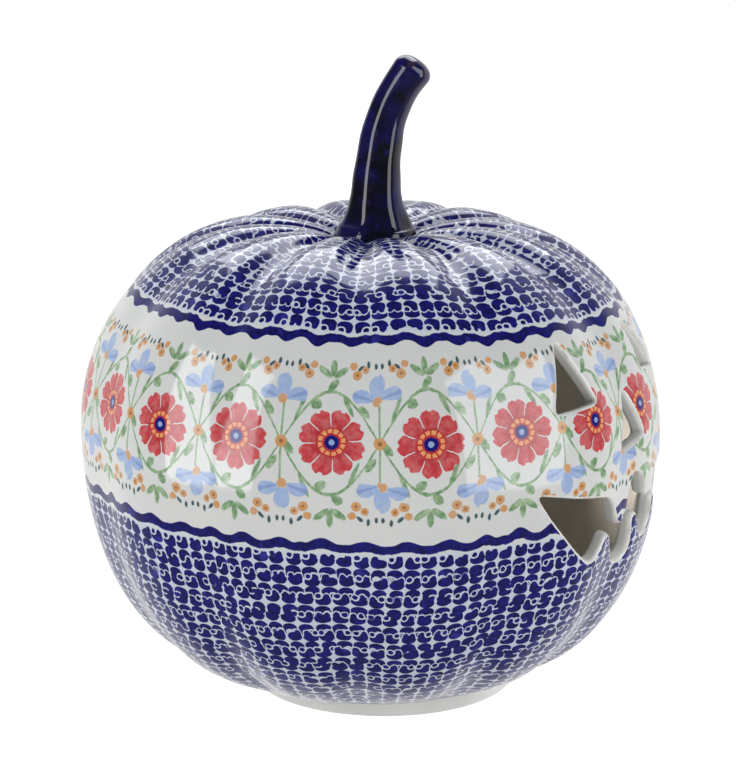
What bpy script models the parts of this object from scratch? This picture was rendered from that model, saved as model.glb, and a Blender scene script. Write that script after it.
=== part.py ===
"""Glazed stoneware pumpkin lantern, standing over a tealight.

Metres, +Z up.  The cut face looks along -Y.  The origin lies under the body's
axis, on the surface the lantern stands on.
"""
import math

import bmesh
import bpy

MM = 0.001

# ---- driving dimensions (mm and degrees) ---------------------------------
BODY_R = 120.0            # largest radius, over the lobes
EQUATOR_Z = 109.0         # height of the largest radius
CREST_R = 46.0            # radius of the ring where the crown turns inward
CREST_Z = 192.0           # top of the lobes
BELLY_DROP = 103.0        # equator down to the virtual lowest point
BELLY_FULL = 2.2          # 2 is an ellipse; more makes the belly fuller
DISH_REACH = 36.0         # how far the crown dish runs in from the crest
DISH_DROP = 13.0          # how deep the crown dish is
DISH_END = 165.0          # angle on the dish ellipse where the stem hole begins
WALL = 6.0                # wall of the body
LOBES = 12
GROOVE_PHASE = -5.0       # a groove lies this far from the face's centre line
GROOVE_SHARP = 2.0        # larger: narrower grooves
SEAT_Z = 8.0              # underside of the body, on the foot
MOUTH_OF_BASE_R = 48.0    # opening under the body

FOOT_R = 56.0             # foot, at the table
FOOT_TOP_R = 58.0
FOOT_IN_R = 47.0
FOOT_H = 7.7
FOOT_AT = (0.7, -5.2)     # luted on a little towards the face

STEM_R = 9.8
STEM_TIP_R = 8.3
STEM_FLARE_R = 17.0
STEM_TOP_Z = 260.0
STEM_LEAN = 18.0          # sideways reach of the tip
STEM_LEAN_DIR = -61.0     # heading of the lean, from +X towards -Y
SPIGOT_R = 10.2
SPIGOT_Z = 170.0

CUP_R = 19.0              # tealight
CUP_H = 16.0
CUP_WALL = 0.6
WAX_TOP = 12.5
WICK_R = 0.9
WICK_TOP = 21.0
GAP = 0.3                 # between touching pieces

AROUND = 72
GROOVE_DEPTH = (          # (profile angle, groove depth)
    (-78.5, 0.0), (-60.0, 3.2), (-35.0, 2.3), (0.0, 1.8), (40.0, 2.6),
    (75.0, 4.4), (100.0, 4.4), (130.0, 2.2), (165.0, 0.0))

# face openings: (angle from the centre line in degrees, height in mm)
EYE = ((-20.0, 159.5), (-24.4, 134.4), (-13.2, 135.6))
EYE_R = ((8.0, 160.5), (18.8, 138.2), (8.2, 141.0))
NOSE = ((-1.9, 137.0), (-5.4, 112.9), (3.2, 116.8))
MOUTH_TOP = ((-29.4, 104.6), (-24.6, 102.6), (-19.6, 100.2), (-12.7, 97.6), (-10.1, 96.4),
             (-8.9, 94.6), (-7.6, 91.4), (-6.7, 88.0), (-6.0, 85.0), (-5.0, 82.7),
             (-3.9, 82.0), (-2.9, 82.8), (-2.3, 85.4), (-1.9, 89.5), (-1.7, 94.5),
             (-1.2, 99.3), (-0.2, 102.0), (1.2, 102.2), (2.4, 100.4), (3.1, 97.4),
             (3.6, 93.6), (4.6, 90.8), (6.0, 89.7), (7.5, 90.5), (8.5, 93.2), (9.2, 96.8),
             (10.8, 98.8), (15.0, 100.2), (21.0, 102.2), (27.5, 105.2))
MOUTH_LOW = ((-26.2, 94.9), (-23.0, 87.3), (-18.8, 78.4), (-16.2, 74.2), (-14.9, 72.4),
             (-13.6, 72.2), (-12.5, 73.6), (-11.4, 76.6), (-10.5, 79.4), (-9.5, 81.0),
             (-8.4, 81.1), (-7.2, 79.0), (-6.0, 75.4), (-5.1, 71.0), (-4.3, 67.4),
             (-3.2, 65.8), (-1.6, 65.6), (0.0, 66.8), (0.8, 69.6), (0.7, 74.0),
             (0.2, 78.5), (-0.3, 82.0), (0.0, 84.4), (0.9, 85.6), (1.9, 85.0),
             (2.8, 82.2), (3.8, 78.2), (4.8, 75.2), (5.9, 73.4), (7.2, 73.0),
             (8.6, 73.6), (9.6, 75.6), (9.9, 78.5), (9.6, 82.0), (9.0, 85.8),
             (9.6, 88.2), (10.8, 89.2), (12.2, 88.0), (13.4, 84.0), (14.6, 79.6),
             (15.8, 75.4), (17.0, 73.2), (18.4, 73.8), (20.0, 77.6), (22.2, 85.4),
             (24.9, 95.0))


# ---- helpers ---------------------------------------------------------------
def clear_scene():
    for ob in list(bpy.data.objects):
        bpy.data.objects.remove(ob, do_unlink=True)


def material(name, colour, roughness, metallic=0.0):
    mat = bpy.data.materials.new(name)
    mat.use_nodes = True
    shader = mat.node_tree.nodes["Principled BSDF"]
    shader.inputs["Base Color"].default_value = (*colour, 1.0)
    shader.inputs["Roughness"].default_value = roughness
    shader.inputs["Metallic"].default_value = metallic
    return mat


def add_object(name, bm, mat, parent=None, smooth=True):
    bmesh.ops.recalc_face_normals(bm, faces=bm.faces)
    mesh = bpy.data.meshes.new(name)
    bm.to_mesh(mesh)
    bm.free()
    if smooth:
        mesh.shade_smooth()
        mesh.set_sharp_from_angle(angle=math.radians(40.0))
    ob = bpy.data.objects.new(name, mesh)
    bpy.context.scene.collection.objects.link(ob)
    if mat is not None:
        mesh.materials.append(mat)
    if parent is not None:
        ob.parent = parent
    return ob


def skin_rings(bm, rings, close_loop=False, caps=False):
    """Join rings of equal length with quads; the rings run around +Z."""
    loops = [[bm.verts.new(p) for p in ring] for ring in rings]
    pairs = list(zip(loops, loops[1:]))
    if close_loop:
        pairs.append((loops[-1], loops[0]))
    n = len(loops[0])
    for low, high in pairs:
        for i in range(n):
            j = (i + 1) % n
            bm.faces.new((low[i], low[j], high[j], high[i]))
    if caps:
        bm.faces.new(list(reversed(loops[0])))
        bm.faces.new(loops[-1])


def ring(radius, z, count, centre=(0.0, 0.0)):
    return [((centre[0] + radius * math.cos(2 * math.pi * i / count)) * MM,
             (centre[1] + radius * math.sin(2 * math.pi * i / count)) * MM, z * MM)
            for i in range(count)]


def turned(name, profile, count, mat, parent=None, close_loop=True, centre=(0.0, 0.0)):
    """A turned piece; an open profile that ends at small radii is capped."""
    bm = bmesh.new()
    skin_rings(bm, [ring(r, z, count, centre) for r, z in profile],
               close_loop=close_loop, caps=not close_loop)
    return add_object(name, bm, mat, parent)


def keyed(keys, x):
    """Smooth value between keys, easing in and out of each."""
    if x <= keys[0][0]:
        return keys[0][1]
    for (x0, y0), (x1, y1) in zip(keys, keys[1:]):
        if x <= x1:
            u = (x - x0) / (x1 - x0)
            u = u * u * (3.0 - 2.0 * u)
            return y0 + (y1 - y0) * u
    return keys[-1][1]


# ---- the body's surface ------------------------------------------------------
def crest_profile(t):
    """Point (r, z) and outward normal of the lobes' crest line at angle t."""
    a = math.radians(t)
    if t < 0.0:
        reach, rise, z0 = BODY_R - CREST_R, BELLY_DROP, EQUATOR_Z
    elif t < 90.0:
        reach, rise, z0 = BODY_R - CREST_R, CREST_Z - EQUATOR_Z, EQUATOR_Z
    else:
        reach, rise, z0 = DISH_REACH, DISH_DROP, CREST_Z - DISH_DROP
    c, s = math.cos(a), math.sin(a)
    mc, ms = c, s
    if t < 0.0:
        e = 2.0 / BELLY_FULL
        c, s, mc, ms = c ** e, -(-s) ** e, c ** (2.0 - e), -(-s) ** (2.0 - e)
    r = CREST_R + reach * c
    z = z0 + rise * s
    nr, nz = mc / reach, ms / rise
    size = math.hypot(nr, nz)
    return r, z, nr / size, nz / size


def groove(phi):
    c = 0.5 + 0.5 * math.cos(math.radians(LOBES * (phi - GROOVE_PHASE)))
    return c ** GROOVE_SHARP


def body_point(phi, t, inset):
    """phi in degrees from the face's centre line (-Y), towards +X."""
    r, z, nr, nz = crest_profile(t)
    d = keyed(GROOVE_DEPTH, t) * groove(phi) + inset
    r, z = r - d * nr, z - d * nz
    a = math.radians(phi)
    return (r * math.sin(a) * MM, -r * math.cos(a) * MM, z * MM)


def body_ring(t, inset):
    return [body_point(360.0 * i / AROUND + GROOVE_PHASE, t, inset) for i in range(AROUND)]


def plain_ring(r, z):
    out = []
    for i in range(AROUND):
        a = math.radians(360.0 * i / AROUND + GROOVE_PHASE)
        out.append((r * math.sin(a) * MM, -r * math.cos(a) * MM, z * MM))
    return out


def make_shell(mat, parent):
    sink = ((EQUATOR_Z - SEAT_Z) / BELLY_DROP) ** (BELLY_FULL / 2.0)
    seat_t = -math.degrees(math.asin(sink))
    outer_t = [seat_t + (0.0 - seat_t) * k / 10 for k in range(10)]
    outer_t += [90.0 * k / 9 for k in range(9)]
    outer_t += [90.0 + (DISH_END - 90.0) * k / 5 for k in range(6)]
    inner_t = [158.0, 140.0, 120.0, 100.0, 80.0, 66.0, 50.0, 33.0, 16.0, 0.0,
               -15.0, -30.0, -45.0, -60.0, -75.0]
    rings = [body_ring(t, 0.0) for t in outer_t]
    rings += [body_ring(t, WALL) for t in inner_t]
    rings.append(plain_ring(MOUTH_OF_BASE_R, SEAT_Z + WALL - 0.4))
    rings.append(plain_ring(MOUTH_OF_BASE_R, SEAT_Z))
    bm = bmesh.new()
    skin_rings(bm, rings, close_loop=True)
    return add_object("pumpkin_shell", bm, mat, parent)


def face_cutter(name, outline, parent):
    """A wedge through the wall with the outline given on the body's surface."""
    bm = bmesh.new()
    rings = []
    for r in (85.0, 135.0):
        rings.append([(r * math.sin(math.radians(p)) * MM, -r * math.cos(math.radians(p)) * MM,
                       z * MM) for p, z in outline])
    skin_rings(bm, rings, caps=True)
    bmesh.ops.triangulate(bm, faces=[f for f in bm.faces if len(f.verts) > 4])
    ob = add_object(name, bm, None, parent, smooth=False)
    ob.hide_render = True
    ob.display_type = "WIRE"
    return ob


def rounded(outline, share=0.16, steps=3):
    """Round the corners of a closed outline with short quadratic arcs."""
    out = []
    n = len(outline)
    for i in range(n):
        p0, p1, p2 = outline[i - 1], outline[i], outline[(i + 1) % n]
        a = tuple(p1[k] + (p0[k] - p1[k]) * share for k in (0, 1))
        b = tuple(p1[k] + (p2[k] - p1[k]) * share for k in (0, 1))
        for s in range(steps + 1):
            u = s / steps
            out.append(tuple((1 - u) ** 2 * a[k] + 2 * u * (1 - u) * p1[k] + u * u * b[k]
                             for k in (0, 1)))
    return out


def mouth_outline():
    """Upper edge from left to right, then the lower edge back."""
    return list(MOUTH_TOP) + list(reversed(MOUTH_LOW))


def make_stem(mat, parent):
    """Spigot, flared skirt and curved shaft as one loft of rings."""
    heading = math.radians(STEM_LEAN_DIR)
    ux, uy = math.cos(heading), math.sin(heading)
    count = 20

    def centre(z):
        s = max(0.0, (z - 198.0) / (STEM_TOP_Z - 8.0 - 198.0))
        return STEM_LEAN * s ** 2.1

    def slope(z):
        return (centre(z + 0.5) - centre(z - 0.5))

    def loop(radius, z, flute):
        tilt = math.atan(slope(z)) if z > 198.0 else 0.0
        c = centre(z)
        out = []
        for i in range(count):
            a = 2 * math.pi * i / count
            rr = radius * (1.0 + flute * math.cos(5 * a))
            u, v = rr * math.cos(a), rr * math.sin(a)
            along = c + u * math.cos(tilt)
            up = z - u * math.sin(tilt)
            out.append(((along * ux - v * uy) * MM, (along * uy + v * ux) * MM, up * MM))
        return out

    rings = [loop(SPIGOT_R - 0.8, SPIGOT_Z, 0.0), loop(SPIGOT_R, SPIGOT_Z + 1.0, 0.0),
             loop(SPIGOT_R, 183.4, 0.0), loop(STEM_FLARE_R, 188.0, 0.0),
             loop(STEM_FLARE_R, 189.0, 0.0), loop(14.3, 191.6, 0.02), loop(12.2, 195.5, 0.04),
             loop(10.8, 201.0, 0.05)]
    for k in range(1, 9):
        z = 201.0 + (STEM_TOP_Z - 8.5 - 201.0) * k / 8
        rings.append(loop(STEM_R + (STEM_TIP_R - STEM_R) * k / 8, z, 0.05))
    # rounded end, stacked along the tip's own direction
    z_end = STEM_TOP_Z - 8.5
    tilt = math.atan(slope(z_end))
    c = centre(z_end)
    for k in (1, 2, 3):
        a = math.radians(28.0 * k)
        rad, lift = STEM_TIP_R * math.cos(a), 0.62 * STEM_TIP_R * math.sin(a)
        tip = []
        for i in range(count):
            b = 2 * math.pi * i / count
            rr = rad * (1.0 + 0.05 * math.cos(5 * b))
            u, v = rr * math.cos(b), rr * math.sin(b)
            along = c + u * math.cos(tilt) + lift * math.sin(tilt)
            up = z_end - u * math.sin(tilt) + lift * math.cos(tilt)
            tip.append(((along * ux - v * uy) * MM, (along * uy + v * ux) * MM, up * MM))
        rings.append(tip)
    bm = bmesh.new()
    skin_rings(bm, rings, caps=True)
    return add_object("stem", bm, mat, parent)


# ---- build ---------------------------------------------------------------------
clear_scene()

glaze_blue = material("glaze_patterned", (0.62, 0.64, 0.74), 0.18)
glaze_stem = material("glaze_cobalt", (0.012, 0.014, 0.09), 0.1)
glaze_white = material("glaze_white", (0.80, 0.80, 0.80), 0.2)
aluminium = material("aluminium", (0.80, 0.81, 0.82), 0.35, 1.0)
wax_white = material("wax", (0.90, 0.88, 0.82), 0.5)
tinplate = material("tinplate", (0.70, 0.70, 0.68), 0.4, 1.0)
cotton = material("cotton", (0.86, 0.84, 0.78), 0.9)

lantern = bpy.data.objects.new("lantern_lift", None)
bpy.context.scene.collection.objects.link(lantern)
tealight = bpy.data.objects.new("tealight_base", None)
bpy.context.scene.collection.objects.link(tealight)

shell = make_shell(glaze_blue, lantern)
cutters = [face_cutter("cut_eye_l", rounded(EYE), lantern),
           face_cutter("cut_eye_r", rounded(EYE_R), lantern),
           face_cutter("cut_nose", rounded(NOSE), lantern),
           face_cutter("cut_mouth", mouth_outline(), lantern)]
for cutter in cutters:
    mod = shell.modifiers.new(cutter.name, "BOOLEAN")
    mod.operation = "DIFFERENCE"
    mod.solver = "EXACT"
    mod.object = cutter

make_stem(glaze_stem, lantern)

turned("foot_ring", [
    (FOOT_IN_R + 1.0, 0.0), (FOOT_R - 1.2, 0.0), (FOOT_R, 1.2),
    (FOOT_R + (FOOT_TOP_R - FOOT_R) * 0.5, FOOT_H * 0.55), (FOOT_TOP_R, FOOT_H),
    (FOOT_IN_R + 0.6, FOOT_H), (FOOT_IN_R, FOOT_H * 0.5), (FOOT_IN_R, 1.0)], 72,
    glaze_white, lantern, centre=FOOT_AT)

in_r = CUP_R - CUP_WALL
turned("tealight_cup", [
    (1.0, 0.0), (CUP_R - 1.2, 0.0), (CUP_R, 1.2), (CUP_R, CUP_H - 0.7), (CUP_R + 0.5, CUP_H),
    (in_r + 0.3, CUP_H), (in_r, CUP_H - 0.7), (in_r, 1.5), (in_r - 0.9, CUP_WALL),
    (1.0, CUP_WALL)], 40, aluminium, tealight, close_loop=False)

tab_z = CUP_WALL + GAP
bore = WICK_R + 1.1
turned("wick_sustainer", [
    (WICK_R + GAP, tab_z), (6.5, tab_z), (6.5, tab_z + 0.4), (WICK_R + 0.8, tab_z + 0.4),
    (WICK_R + 0.8, tab_z + 3.0), (WICK_R + GAP, tab_z + 3.0)], 24, tinplate, tealight)

wax_r = in_r - GAP
turned("tealight_wax", [
    (bore, tab_z + 0.8), (7.2, tab_z + 0.8), (7.2, tab_z), (wax_r - 1.2, tab_z),
    (wax_r, tab_z + 1.2), (wax_r, WAX_TOP), (wax_r - 1.0, WAX_TOP - 0.6), (5.0, WAX_TOP - 1.0),
    (bore, WAX_TOP - 0.7)], 40, wax_white, tealight)

turned("wick", [
    (WICK_R, tab_z + 0.1), (WICK_R, WICK_TOP - 0.6), (WICK_R * 0.6, WICK_TOP)], 10,
    cotton, tealight, close_loop=False)
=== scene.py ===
"""Looks of the stoneware pumpkin lantern: fine meshes, glazes, light and camera.

Metres, +Z up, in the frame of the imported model; the cut face looks along -Y.
"""
import math

import bmesh
import bpy
import numpy as np
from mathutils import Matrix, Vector
from mathutils.geometry import delaunay_2d_cdt


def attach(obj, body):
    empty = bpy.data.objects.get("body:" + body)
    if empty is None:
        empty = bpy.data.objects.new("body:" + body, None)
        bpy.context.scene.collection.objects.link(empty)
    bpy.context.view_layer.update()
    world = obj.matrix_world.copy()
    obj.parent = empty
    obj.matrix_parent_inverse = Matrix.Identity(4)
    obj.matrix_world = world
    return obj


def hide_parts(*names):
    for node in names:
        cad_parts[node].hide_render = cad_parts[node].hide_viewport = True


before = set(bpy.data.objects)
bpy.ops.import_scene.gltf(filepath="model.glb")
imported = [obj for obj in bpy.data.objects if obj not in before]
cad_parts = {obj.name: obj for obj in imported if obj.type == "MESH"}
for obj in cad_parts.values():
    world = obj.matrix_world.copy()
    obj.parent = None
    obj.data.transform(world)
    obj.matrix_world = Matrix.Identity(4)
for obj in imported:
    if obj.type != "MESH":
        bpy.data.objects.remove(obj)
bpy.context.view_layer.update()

MM = 0.001
scene = bpy.context.scene

# ---------------------------------------------------------------- dimensions
BODY_R, EQUATOR_Z = 120.0, 109.0
CREST_R, CREST_Z, BELLY_DROP, BELLY_FULL = 46.0, 192.0, 103.0, 2.2
DISH_REACH, DISH_DROP, DISH_END = 36.0, 13.0, 165.0
WALL, LOBES, GROOVE_PHASE, SEAT_Z = 6.0, 12, -5.0, 8.0
BASE_R = 48.0
FOOT_AT = (0.7, -5.2)
GROOVE_KEYS = ((-78.5, 0.0), (-60.0, 3.2), (-35.0, 2.3), (0.0, 1.8), (40.0, 2.6),
               (75.0, 4.4), (100.0, 4.4), (130.0, 2.2), (165.0, 0.0))

EYE = ((-20.0, 159.5), (-24.4, 134.4), (-13.2, 135.6))
EYE_R = ((8.0, 160.5), (18.8, 138.2), (8.2, 141.0))
NOSE = ((-1.9, 137.0), (-5.4, 112.9), (3.2, 116.8))
MOUTH_TOP = ((-29.4, 104.6), (-24.6, 102.6), (-19.6, 100.2), (-12.7, 97.6), (-10.1, 96.4),
             (-8.9, 94.6), (-7.6, 91.4), (-6.7, 88.0), (-6.0, 85.0), (-5.0, 82.7),
             (-3.9, 82.0), (-2.9, 82.8), (-2.3, 85.4), (-1.9, 89.5), (-1.7, 94.5),
             (-1.2, 99.3), (-0.2, 102.0), (1.2, 102.2), (2.4, 100.4), (3.1, 97.4),
             (3.6, 93.6), (4.6, 90.8), (6.0, 89.7), (7.5, 90.5), (8.5, 93.2), (9.2, 96.8),
             (10.8, 98.8), (15.0, 100.2), (21.0, 102.2), (27.5, 105.2))
MOUTH_LOW = ((-26.2, 94.9), (-23.0, 87.3), (-18.8, 78.4), (-16.2, 74.2), (-14.9, 72.4),
             (-13.6, 72.2), (-12.5, 73.6), (-11.4, 76.6), (-10.5, 79.4), (-9.5, 81.0),
             (-8.4, 81.1), (-7.2, 79.0), (-6.0, 75.4), (-5.1, 71.0), (-4.3, 67.4),
             (-3.2, 65.8), (-1.6, 65.6), (0.0, 66.8), (0.8, 69.6), (0.7, 74.0),
             (0.2, 78.5), (-0.3, 82.0), (0.0, 84.4), (0.9, 85.6), (1.9, 85.0),
             (2.8, 82.2), (3.8, 78.2), (4.8, 75.2), (5.9, 73.4), (7.2, 73.0),
             (8.6, 73.6), (9.6, 75.6), (9.9, 78.5), (9.6, 82.0), (9.0, 85.8),
             (9.6, 88.2), (10.8, 89.2), (12.2, 88.0), (13.4, 84.0), (14.6, 79.6),
             (15.8, 75.4), (17.0, 73.2), (18.4, 73.8), (20.0, 77.6), (22.2, 85.4),
             (24.9, 95.0))

BAND_LOW_Z, BAND_HIGH_Z = 91.4, 164.0     # white band between the scalloped borders

# -------------------------------------------------------- the body's surface
SEAT_T = -math.degrees(math.asin(((EQUATOR_Z - SEAT_Z) / BELLY_DROP) ** (BELLY_FULL / 2.0)))


def profile(t):
    """Crest line of the lobes at angle t (degrees): r, z and outward normal."""
    t = np.asarray(t, float)
    a = np.radians(t)
    reach = np.where(t < 90.0, BODY_R - CREST_R, DISH_REACH)
    rise = np.where(t < 0.0, BELLY_DROP, np.where(t < 90.0, CREST_Z - EQUATOR_Z, DISH_DROP))
    z0 = np.where(t < 90.0, EQUATOR_Z, CREST_Z - DISH_DROP)
    c, s = np.cos(a), np.sin(a)
    e = 2.0 / BELLY_FULL
    low_c, low_s = np.abs(c), np.abs(s)       # the belly is fuller than an ellipse
    mc = np.where(t < 0.0, low_c ** (2.0 - e), c)
    ms = np.where(t < 0.0, -low_s ** (2.0 - e), s)
    c, s = np.where(t < 0.0, low_c ** e, c), np.where(t < 0.0, -low_s ** e, s)
    r = CREST_R + reach * c
    z = z0 + rise * s
    nr, nz = mc / reach, ms / rise
    size = np.hypot(nr, nz)
    return r, z, nr / size, nz / size


def keyed(keys, x):
    x = np.asarray(x, float)
    out = np.full(x.shape, keys[0][1])
    for (x0, y0), (x1, y1) in zip(keys, keys[1:]):
        u = np.clip((x - x0) / (x1 - x0), 0.0, 1.0)
        out = np.where(x > x0, y0 + (y1 - y0) * u * u * (3.0 - 2.0 * u), out)
    return out


T_TABLE = np.linspace(SEAT_T, DISH_END, 4001)
_r, _z, _, _ = profile(T_TABLE)
S_TABLE = np.concatenate([[0.0], np.cumsum(np.hypot(np.diff(_r), np.diff(_z)))])
S_END = float(S_TABLE[-1])
_up = T_TABLE <= 90.0


def s_of_z(z):
    return np.interp(z, _z[_up], S_TABLE[_up])


def groove(phi):
    c = 0.5 + 0.5 * np.cos(np.radians(LOBES * (phi - GROOVE_PHASE)))
    # hand-pressed grooves: no two alike
    p = np.radians(phi)
    vary = 1.0 + 0.16 * np.sin(2 * p + 0.7) + 0.12 * np.sin(5 * p + 2.1) + 0.08 * np.sin(7 * p)
    return c ** 2.0 * vary


def surface(phi, s, inset):
    """Points of the body in metres. phi in degrees from -Y towards +X."""
    phi, s, inset = np.broadcast_arrays(np.asarray(phi, float), np.asarray(s, float),
                                        np.asarray(inset, float))
    t = np.interp(s, S_TABLE, T_TABLE)
    r, z, nr, nz = profile(t)
    p = np.radians(phi)
    swell = np.clip(np.minimum(s / 40.0, (S_END - s) / 60.0), 0.0, 1.0)
    uneven = 0.45 * np.sin(2 * p + 1.1 + s * 0.012) + 0.3 * np.sin(3 * p + 0.4 - s * 0.02) \
        + 0.12 * np.sin(11 * p + s * 0.07)
    d = keyed(GROOVE_KEYS, t) * groove(phi) + inset - uneven * swell
    r, z = r - d * nr, z - d * nz
    return np.stack([r * np.sin(p), -r * np.cos(p), z], -1) * MM


# ------------------------------------------------------------- hole outlines
K_DEG = 2.05                                # mm per degree in the flat working plane


def smooth_loop(points, sigma, spacing):
    """Closed polygon in mm, rounded by a Gaussian along its length and resampled."""
    p = np.asarray(points, float)
    q = np.vstack([p, p[:1]])
    seg = np.hypot(*np.diff(q, axis=0).T)
    length = np.concatenate([[0.0], np.cumsum(seg)])
    n = int(length[-1] / 0.25)
    u = np.linspace(0.0, length[-1], n, endpoint=False)
    d = np.stack([np.interp(u, length, q[:, k]) for k in (0, 1)], -1)
    step = length[-1] / n
    half = int(4 * sigma / step)
    w = np.exp(-0.5 * (np.arange(-half, half + 1) * step / sigma) ** 2)
    w /= w.sum()
    wrapped = np.vstack([d[-half:], d, d[:half]])
    d = np.stack([np.convolve(wrapped[:, k], w, "valid") for k in (0, 1)], -1)
    q = np.vstack([d, d[:1]])
    length = np.concatenate([[0.0], np.cumsum(np.hypot(*np.diff(q, axis=0).T))])
    n = int(round(length[-1] / spacing))
    u = np.linspace(0.0, length[-1], n, endpoint=False)
    return np.stack([np.interp(u, length, q[:, k]) for k in (0, 1)], -1)


def counter_clockwise(p):
    area = 0.5 * np.sum(p[:, 0] * np.roll(p[:, 1], -1) - np.roll(p[:, 0], -1) * p[:, 1])
    return p if area > 0 else p[::-1].copy()


def outward(p):
    d = np.roll(p, -1, axis=0) - np.roll(p, 1, axis=0)
    d /= np.hypot(d[:, 0], d[:, 1])[:, None]
    return np.stack([d[:, 1], -d[:, 0]], -1)


def flat(outline):
    return [(p * K_DEG, float(s_of_z(z))) for p, z in outline]


mouth = list(MOUTH_TOP) + list(reversed(MOUTH_LOW))
HOLES = [counter_clockwise(smooth_loop(flat(o), sig, 0.95)) for o, sig in (
    (EYE, 1.15), (EYE_R, 1.15), (NOSE, 1.25), (mouth, 0.95))]


def offset_loop(p, w):
    """The loop pushed out by w, with the small folds at tight bends eased."""
    q = p + outward(p) * w
    for _ in range(4):
        q = 0.25 * np.roll(q, 1, axis=0) + 0.5 * q + 0.25 * np.roll(q, -1, axis=0)
    return q


def inside(poly, pts):
    x, y = pts[:, 0], pts[:, 1]
    res = np.zeros(len(pts), bool)
    a, b = poly, np.roll(poly, -1, axis=0)
    for (x0, y0), (x1, y1) in zip(a, b):
        if y0 == y1:
            continue
        hit = (y0 > y) != (y1 > y)
        res ^= hit & (x < (x1 - x0) * (y - y0) / (y1 - y0) + x0)
    return res


def near(poly, pts, dist):
    res = np.zeros(len(pts), bool)
    for q in poly:
        res |= np.hypot(pts[:, 0] - q[0], pts[:, 1] - q[1]) < dist
    return res


# ---------------------------------------------------------------- the shell
COLS = 360
PATCH_HALF = 35                             # degrees each side of the face's centre


class MeshData:
    def __init__(self):
        self.co, self.s, self.edge, self.faces, self.mat = [], [], [], [], []
        self.count = 0

    def add(self, co, s, edge=0.0):
        first = self.count
        self.co.append(np.asarray(co, float).reshape(-1, 3))
        n = len(self.co[-1])
        self.s.append(np.broadcast_to(np.asarray(s, float), (n,)).copy())
        self.edge.append(np.full(n, edge))
        self.count += n
        return np.arange(first, first + n)

    def quads(self, low, high, mat, flip=False):
        """Strip between two closed rings of indices."""
        a, b = low, high
        a2, b2 = np.roll(low, -1), np.roll(high, -1)
        for i in range(len(a)):
            f = (a[i], a2[i], b2[i], b[i])
            self.faces.append(f[::-1] if flip else f)
            self.mat.append(mat)


def sheet(md, rows, inset, loops, mat, flip, gap):
    """A closed-round sheet of the body with the face's holes left open.

    Returns (index rings at both ends, index loop of each hole)."""
    phis = np.arange(COLS) - 180.0
    idx = np.stack([md.add(surface(phis, s, inset), s) for s in rows])
    lo = np.searchsorted(rows, s_of_z(57.0))
    hi = np.searchsorted(rows, s_of_z(169.0))
    c0, c1 = 180 - PATCH_HALF, 180 + PATCH_HALF
    for j in range(len(rows) - 1):
        for i in range(COLS):
            if lo <= j < hi and c0 <= i < c1:
                continue
            k = (i + 1) % COLS
            f = (idx[j, i], idx[j, k], idx[j + 1, k], idx[j + 1, i])
            md.faces.append(f[::-1] if flip else f)
            md.mat.append(mat)
    # the patch round the face
    gi, gj = np.meshgrid(np.arange(c0, c1 + 1), np.arange(lo, hi + 1))
    gi, gj = gi.ravel(), gj.ravel()
    pts = np.stack([(gi - 180.0) * K_DEG, rows[gj]], -1)
    edge = (gi == c0) | (gi == c1) | (gj == lo) | (gj == hi)
    drop = np.zeros(len(pts), bool)
    for loop in loops:
        drop |= inside(loop, pts) | near(loop, pts, gap)
    keep = ~drop | edge
    gi, gj, pts = gi[keep], gj[keep], pts[keep]
    verts = [Vector(p) for p in pts]
    known = list(idx[gj, gi])
    edges, loop_ids = [], []
    for loop in loops:
        first = len(verts)
        n = len(loop)
        verts += [Vector(p) for p in loop]
        ids = md.add(surface(loop[:, 0] / K_DEG, loop[:, 1], inset), loop[:, 1])
        known += list(ids)
        edges += [(first + i, first + (i + 1) % n) for i in range(n)]
        loop_ids.append(ids)
    vs, _, fs, origin, _, _ = delaunay_2d_cdt(verts, edges, [], 0, 1e-5)
    where = np.array([[v[0], v[1]] for v in vs])
    ids = []
    for i, o in enumerate(origin):
        if o:
            ids.append(known[o[0]])
        else:
            ids.append(int(md.add(surface(where[i, 0] / K_DEG, where[i, 1], inset),
                                  where[i, 1])[0]))
    tris = np.array([list(f) for f in fs if len(f) == 3])
    mid = where[tris].mean(1)
    gone = np.zeros(len(tris), bool)
    for loop in loops:
        gone |= inside(loop, mid)
    ids = np.array(ids)
    for tri in tris[~gone]:
        p = where[tri]
        ccw = (p[1, 0] - p[0, 0]) * (p[2, 1] - p[0, 1]) - (p[1, 1] - p[0, 1]) * (p[2, 0] - p[0, 0])
        f = tuple(ids[tri]) if ccw > 0 else tuple(ids[tri][::-1])
        md.faces.append(f[::-1] if flip else f)
        md.mat.append(mat)
    return idx[0], idx[-1], loop_ids


def make_mesh(name, co, faces, mats, mat_ids=None, attrs=None, tidy=False):
    mesh = bpy.data.meshes.new(name)
    mesh.from_pydata([tuple(p) for p in co], [], [tuple(int(i) for i in f) for f in faces])
    for m in mats:
        mesh.materials.append(m)
    if mat_ids is not None:
        mesh.polygons.foreach_set("material_index", np.asarray(mat_ids, dtype=np.int32))
    for key, values in (attrs or {}).items():
        at = mesh.attributes.new(key, "FLOAT", "POINT")
        at.data.foreach_set("value", np.asarray(values, dtype=np.float32))
    if tidy:
        bm = bmesh.new()
        bm.from_mesh(mesh)
        bmesh.ops.recalc_face_normals(bm, faces=bm.faces)
        bm.to_mesh(mesh)
        bm.free()
    mesh.shade_smooth()
    mesh.update()
    ob = bpy.data.objects.new(name, mesh)
    scene.collection.objects.link(ob)
    return ob


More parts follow.
